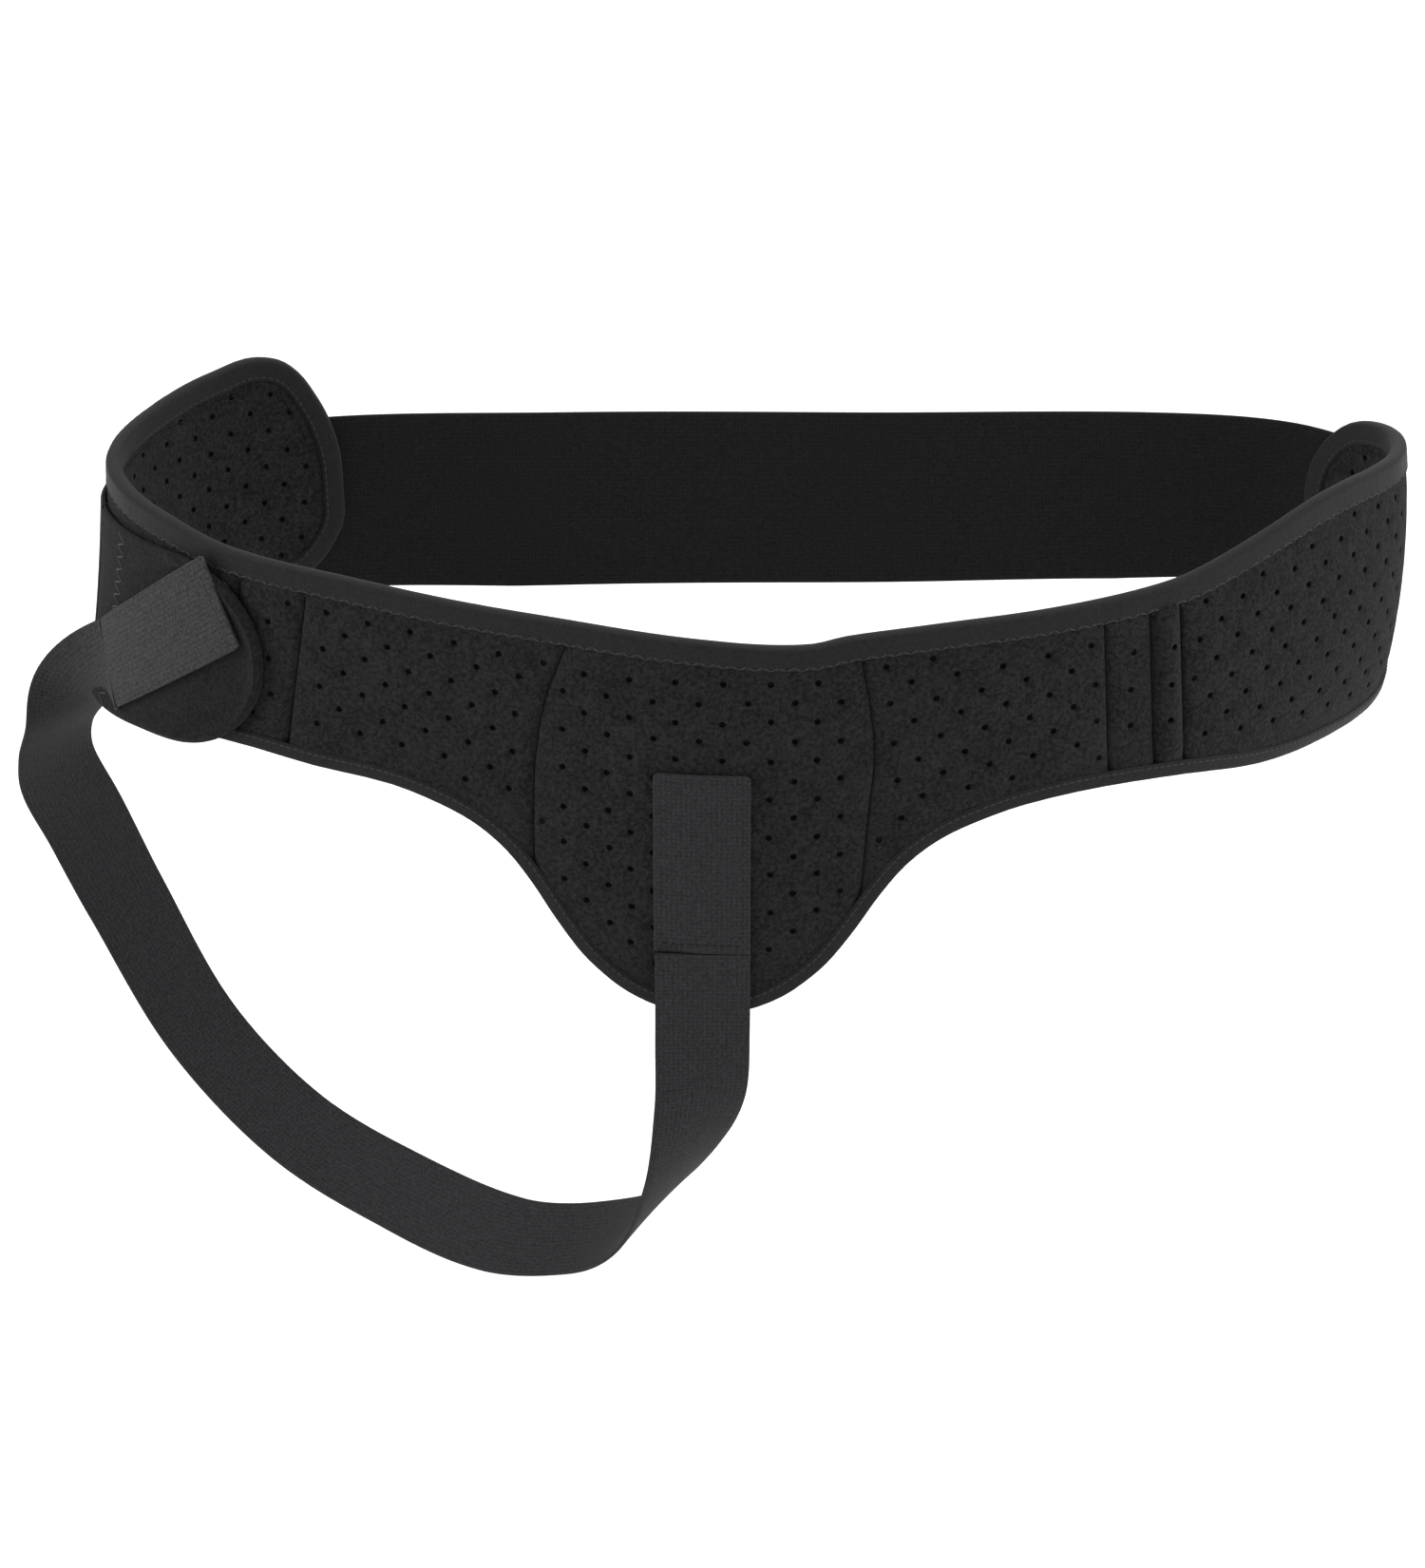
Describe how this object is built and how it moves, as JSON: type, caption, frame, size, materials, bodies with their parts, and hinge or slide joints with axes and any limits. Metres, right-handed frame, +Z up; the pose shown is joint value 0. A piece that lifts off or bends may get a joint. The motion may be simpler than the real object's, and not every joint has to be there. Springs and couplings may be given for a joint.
{
  "type": "groin support belt",
  "caption": "Perforated padded groin support belt with an elastic back band, rounded hook-and-loop closure tab, one leg strap and removable inner pads.",
  "frame": {"origin": "middle of the wearer's hips, at the level of the elastic's middle", "axes": "+X towards the right wing as seen from the front, -Y out of the front panel, +Z up"},
  "size_m": [0.5391, 0.2328, 0.3371],
  "materials": {
    "neoprene": "perforated neoprene with a brushed loop face",
    "binding": "smooth folded binding",
    "elastic": "plain woven elastic",
    "closure_cloth": "brushed loop cloth",
    "webbing": "soft woven webbing",
    "webbing_end": "soft woven webbing, paler face",
    "hook": "nylon hook tape",
    "pad_cloth": "knitted pad cover",
    "foam": "closed-cell foam"
  },
  "bodies": {
    "belt": {"center_panel": "neoprene", "left_wing_front": "neoprene", "left_wing_insert": "neoprene", "left_wing_end": "neoprene", "right_wing_front": "neoprene", "right_wing_insert": "neoprene", "right_insert_fold": "neoprene", "right_wing_end": "neoprene", "top_binding": "binding", "bottom_binding": "binding", "rear_elastic_band": "elastic", "leg_strap": "webbing"},
    "closure": {"closure_tab": "closure_cloth", "closure_hook_patch": "hook", "leg_strap_upper": "webbing"},
    "front_strap_end": {"front_strap_tab": "webbing", "front_hook_patch": "hook"},
    "rear_strap_end": {"rear_strap_tab": "webbing_end", "rear_hook_patch": "hook"},
    "left_pad": {"left_pad_cover": "pad_cloth", "left_pad_foam": "foam", "left_pad_hook_patch": "hook"},
    "right_pad": {"right_pad_cover": "pad_cloth", "right_pad_foam": "foam", "right_pad_hook_patch": "hook"}
  },
  "joints": [
    {"name": "closure_open", "type": "hinge", "parent": "belt", "child": "closure", "pos_m": [-0.22895, 0.0035, 0], "axis": [0, 0, -1], "range_deg": [0, 28]},
    {"name": "rear_tab_peel", "type": "hinge", "parent": "closure", "child": "rear_strap_end", "pos_m": [-0.21878, -0.02654, -0.017], "axis": [0.3439, -0.5172, -0.7837], "range_deg": [0, 90]},
    {"name": "front_tab_peel", "type": "hinge", "parent": "belt", "child": "front_strap_end", "pos_m": [-0.0003, -0.11599, -0.092], "axis": [1, 0, 0], "range_deg": [0, 85]},
    {"name": "left_pad_remove", "type": "slide", "parent": "belt", "child": "left_pad", "axis": [0, 1, 0], "range_m": [0, 0.05]},
    {"name": "right_pad_remove", "type": "slide", "parent": "belt", "child": "right_pad", "axis": [0, 1, 0], "range_m": [0, 0.05]}
  ]
}
